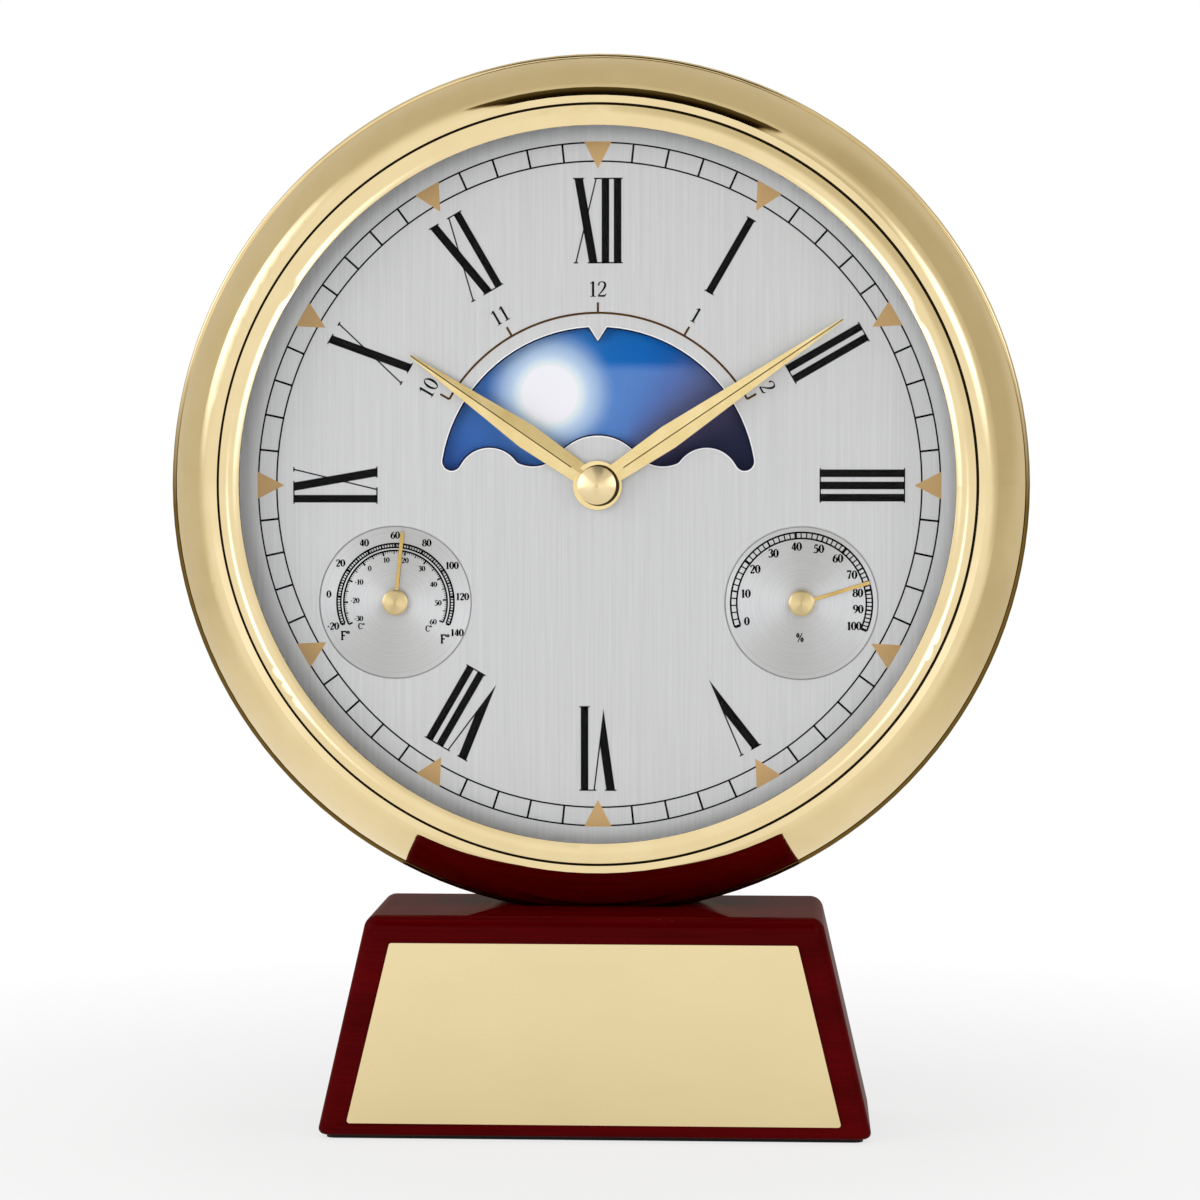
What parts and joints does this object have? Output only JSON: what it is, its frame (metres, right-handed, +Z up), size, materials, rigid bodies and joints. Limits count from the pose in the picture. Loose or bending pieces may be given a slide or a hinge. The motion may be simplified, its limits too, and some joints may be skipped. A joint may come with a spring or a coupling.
{
  "type": "moon phase desk clock",
  "caption": "Round gilt desk clock on a tapered wood base, with hands, a turning moon disc in a winged aperture, a thermometer and a hygrometer.",
  "frame": {"origin": "centre of the felt's underside, on the surface that the clock stands on", "axes": "+Z up, -Y towards the viewer of the dial, +X to the right of the dial"},
  "size_m": [0.1906, 0.0459, 0.2374],
  "materials": {
    "mahogany": "gloss lacquered mahogany",
    "felt": "short felt",
    "plate_brass": "satin lacquered",
    "gilt": "polished and gilt",
    "hand_gilt": "polished and gilt",
    "clear_glass": "clear float glass",
    "dial_metal": "brushed upright",
    "scale_metal": "turned in circles",
    "moon_print": "printed night sky",
    "black_plastic": "fine grain",
    "steel": "zinc plated",
    "works_brass": "machined",
    "winding": "enamelled copper wire",
    "board": "circuit board",
    "nickel": "nickel plated",
    "cell": "plain sleeve"
  },
  "bodies": {
    "clock": {"wood_base": "mahogany", "base_felt": "felt", "engraving_plate": "plate_brass", "case_drum": "gilt", "outer_bezel": "gilt", "inner_ring": "gilt", "glass": "clear_glass", "dial": "dial_metal", "thermometer_scale": "scale_metal", "hygrometer_scale": "scale_metal", "back_cover": "black_plastic", "movement_case": "black_plastic", "base_screws": "steel", "base_washers": "steel", "clamp_bar": "steel", "bezel_screws": "steel", "cover_screws": "steel", "case_screws": "steel", "foot_screws": "steel", "stator": "steel", "movement_plate": "works_brass", "train_bridge": "works_brass", "dial_feet": "works_brass", "thermometer_cup": "works_brass", "hygrometer_cup": "works_brass", "thermometer_coil": "works_brass", "hygrometer_coil": "works_brass", "coil": "winding", "circuit_board": "board", "battery_contacts": "nickel", "crystal": "nickel", "battery": "cell"},
    "minute_works": {"minute_hand": "hand_gilt", "hand_cap": "hand_gilt", "minute_arbor": "steel"},
    "hour_works": {"hour_hand": "hand_gilt", "hour_wheel": "works_brass"},
    "time_setting": {"minute_wheel": "works_brass", "time_knob": "black_plastic"},
    "moon_reduction": {"moon_reduction_wheel": "works_brass"},
    "moon_idle": {"moon_idler": "works_brass"},
    "moon_drive": {"moon_drive_wheel": "works_brass"},
    "moon": {"moon_disc": "moon_print"},
    "moon_setting": {"moon_pinion": "works_brass", "moon_knob": "black_plastic"},
    "motor": {"rotor": "steel"},
    "intermediate": {"intermediate_wheel": "works_brass"},
    "second": {"second_wheel": "works_brass"},
    "third": {"third_wheel": "works_brass"},
    "centre": {"centre_wheel": "works_brass"},
    "temperature": {"thermometer_pointer": "hand_gilt"},
    "humidity": {"hygrometer_pointer": "hand_gilt"}
  },
  "joints": [
    {"name": "minute_turn", "type": "hinge", "parent": "clock", "child": "minute_works", "pos_m": [0, 0, 0.14215], "axis": [0, 1, 0], "continuous": true},
    {"name": "hour_turn", "type": "hinge", "parent": "clock", "child": "hour_works", "pos_m": [0, 0, 0.14215], "axis": [0, 1, 0], "continuous": true},
    {"name": "time_setting_turn", "type": "hinge", "parent": "clock", "child": "time_setting", "pos_m": [-0.012, 0, 0.14215], "axis": [0, 1, 0], "continuous": true},
    {"name": "moon_reduction_turn", "type": "hinge", "parent": "clock", "child": "moon_reduction", "pos_m": [0.0041, 0, 0.15343], "axis": [0, 1, 0], "continuous": true},
    {"name": "moon_idler_turn", "type": "hinge", "parent": "clock", "child": "moon_idle", "pos_m": [0.00267, 0, 0.16375], "axis": [0, 1, 0], "continuous": true},
    {"name": "moon_drive_turn", "type": "hinge", "parent": "clock", "child": "moon_drive", "pos_m": [0, 0, 0.18291], "axis": [0, 1, 0], "continuous": true},
    {"name": "moon_turn", "type": "hinge", "parent": "clock", "child": "moon", "pos_m": [0, 0, 0.14215], "axis": [0, 1, 0], "continuous": true},
    {"name": "moon_setting_turn", "type": "hinge", "parent": "clock", "child": "moon_setting", "pos_m": [0, 0, 0.18291], "axis": [0, 1, 0], "continuous": true},
    {"name": "rotor_turn", "type": "hinge", "parent": "clock", "child": "motor", "pos_m": [-0.002, 0, 0.15724], "axis": [0, 1, 0], "continuous": true},
    {"name": "intermediate_turn", "type": "hinge", "parent": "clock", "child": "intermediate", "pos_m": [0.0082, 0, 0.15724], "axis": [0, 1, 0], "continuous": true},
    {"name": "second_turn", "type": "hinge", "parent": "clock", "child": "second", "pos_m": [0.01525, 0, 0.15468], "axis": [0, 1, 0], "continuous": true},
    {"name": "third_turn", "type": "hinge", "parent": "clock", "child": "third", "pos_m": [0.0051, 0, 0.15098], "axis": [0, 1, 0], "continuous": true},
    {"name": "centre_turn", "type": "hinge", "parent": "clock", "child": "centre", "pos_m": [0, 0, 0.14215], "axis": [0, 1, 0], "continuous": true},
    {"name": "temperature_reading", "type": "hinge", "parent": "clock", "child": "temperature", "pos_m": [-0.04495, 0, 0.1162], "axis": [0, 1, 0], "range_deg": [-118, 107], "stiffness_Nm_per_rad": 0.0001},
    {"name": "humidity_reading", "type": "hinge", "parent": "clock", "child": "humidity", "pos_m": [0.04495, 0, 0.1162], "axis": [0, 1, 0], "range_deg": [-183, 40], "stiffness_Nm_per_rad": 0.0001}
  ],
  "couplings": [
    {"joint": "hour_turn", "follows": "minute_turn", "ratio": 0.083333},
    {"joint": "time_setting_turn", "follows": "minute_turn", "ratio": -0.33333},
    {"joint": "moon_reduction_turn", "follows": "minute_turn", "ratio": -0.027778},
    {"joint": "moon_idler_turn", "follows": "minute_turn", "ratio": 0.011111},
    {"joint": "moon_drive_turn", "follows": "minute_turn", "ratio": -0.0069444},
    {"joint": "moon_setting_turn", "follows": "moon_turn", "ratio": -9.8333},
    {"joint": "intermediate_turn", "follows": "rotor_turn", "ratio": -0.13333},
    {"joint": "second_turn", "follows": "rotor_turn", "ratio": 0.033333},
    {"joint": "third_turn", "follows": "rotor_turn", "ratio": -0.0041667},
    {"joint": "centre_turn", "follows": "rotor_turn", "ratio": 0.00055556}
  ]
}
